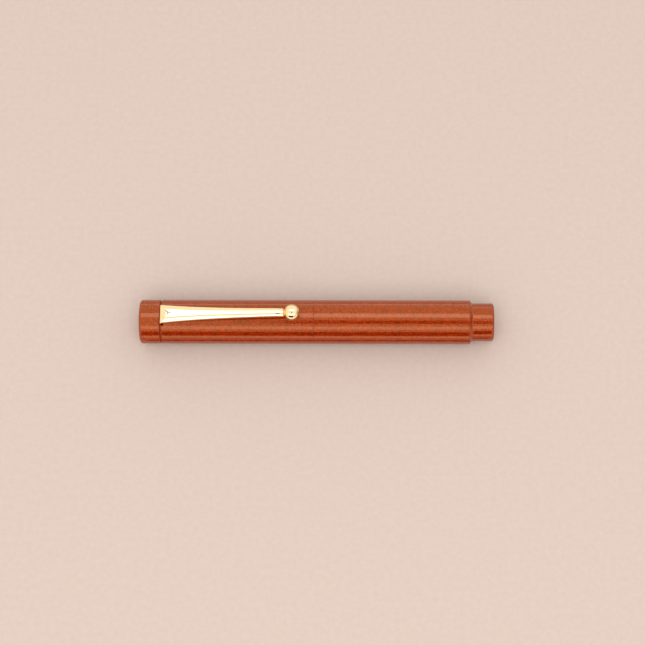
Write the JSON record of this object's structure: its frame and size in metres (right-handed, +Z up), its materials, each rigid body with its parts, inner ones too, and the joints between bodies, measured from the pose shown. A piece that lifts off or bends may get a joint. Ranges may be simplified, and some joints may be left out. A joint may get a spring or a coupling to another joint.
{
  "type": "rollerball pen",
  "caption": "Capped metal rollerball pen with a speckled copper lacquer finish, a gold clip that ends in a ball, a stepped tail and a spring-loaded refill inside.",
  "frame": {"origin": "on the surface the pen lies on, below the middle of its length", "axes": "+X along the pen from the cap's closed end toward the tail, +Y across, +Z up through the clip"},
  "size_m": [0.1124, 0.014, 0.0195],
  "materials": {
    "body_lacquer": "semi-gloss copper-orange lacquer with fine speckle",
    "gold_plate": "polished pale gold plate",
    "bare_brass": "turned brass",
    "steel": "bright steel",
    "seal_rubber": "matt black rubber",
    "black_plastic": "moulded black plastic",
    "grey_plastic": "moulded grey plastic",
    "refill_metal": "drawn satin tube",
    "ink_fibre": "ink-soaked fibre"
  },
  "bodies": {
    "section": {"nose_cone": "gold_plate", "grip_sleeve": "body_lacquer", "section_core": "black_plastic", "thread_connector": "bare_brass", "barrel_oring": "seal_rubber"},
    "cap_ring": {"cap_oring": "seal_rubber"},
    "cap": {"cap_tube": "body_lacquer", "finial": "body_lacquer", "clip_ring": "body_lacquer", "cap_screw": "steel", "inner_cap": "black_plastic"},
    "clip": {"clip_arm": "gold_plate", "clip_ball": "gold_plate"},
    "spring": {"refill_spring": "steel"},
    "barrel": {"barrel_tube": "body_lacquer", "barrel_insert": "bare_brass", "tail_plug": "body_lacquer"},
    "refill": {"refill_tube": "refill_metal", "refill_nose": "black_plastic", "refill_tip": "steel", "ink_wick": "ink_fibre", "ink_reservoir": "ink_fibre", "refill_plug": "grey_plastic"},
    "tip_ball": {"writing_ball": "steel"}
  },
  "joints": [
    {"name": "cap_turn", "type": "hinge", "parent": "section", "child": "cap_ring", "pos_m": [-0.00505, 0, 0.007], "axis": [1, 0, 0], "continuous": true},
    {"name": "cap_pull", "type": "slide", "parent": "cap_ring", "child": "cap", "axis": [-1, 0, 0], "range_m": [0, 0.06]},
    {"name": "clip_flex", "type": "hinge", "parent": "cap", "child": "clip", "pos_m": [-0.04935, 0, 0.01396], "axis": [0, -1, 0], "range_deg": [0, 3.5], "stiffness_Nm_per_rad": 2, "springref_deg": -1.15},
    {"name": "barrel_travel", "type": "slide", "parent": "section", "child": "spring", "axis": [1, 0, 0], "range_m": [0, 0.006]},
    {"name": "barrel_turn", "type": "hinge", "parent": "spring", "child": "barrel", "pos_m": [0.02385, 0, 0.007], "axis": [1, 0, 0], "range_deg": [0, 2160]},
    {"name": "refill_float", "type": "slide", "parent": "section", "child": "refill", "axis": [1, 0, 0], "range_m": [0, 0.0006], "stiffness_N_per_m": 500, "springref_m": -0.001, "deforming": ["refill_spring"]},
    {"name": "ball_roll", "type": "hinge", "parent": "refill", "child": "tip_ball", "pos_m": [-0.0459, 0, 0.007], "axis": [0, 1, 0], "continuous": true}
  ],
  "couplings": [
    {"joint": "barrel_turn", "follows": "barrel_travel", "rad_per_m": 6283.2}
  ]
}
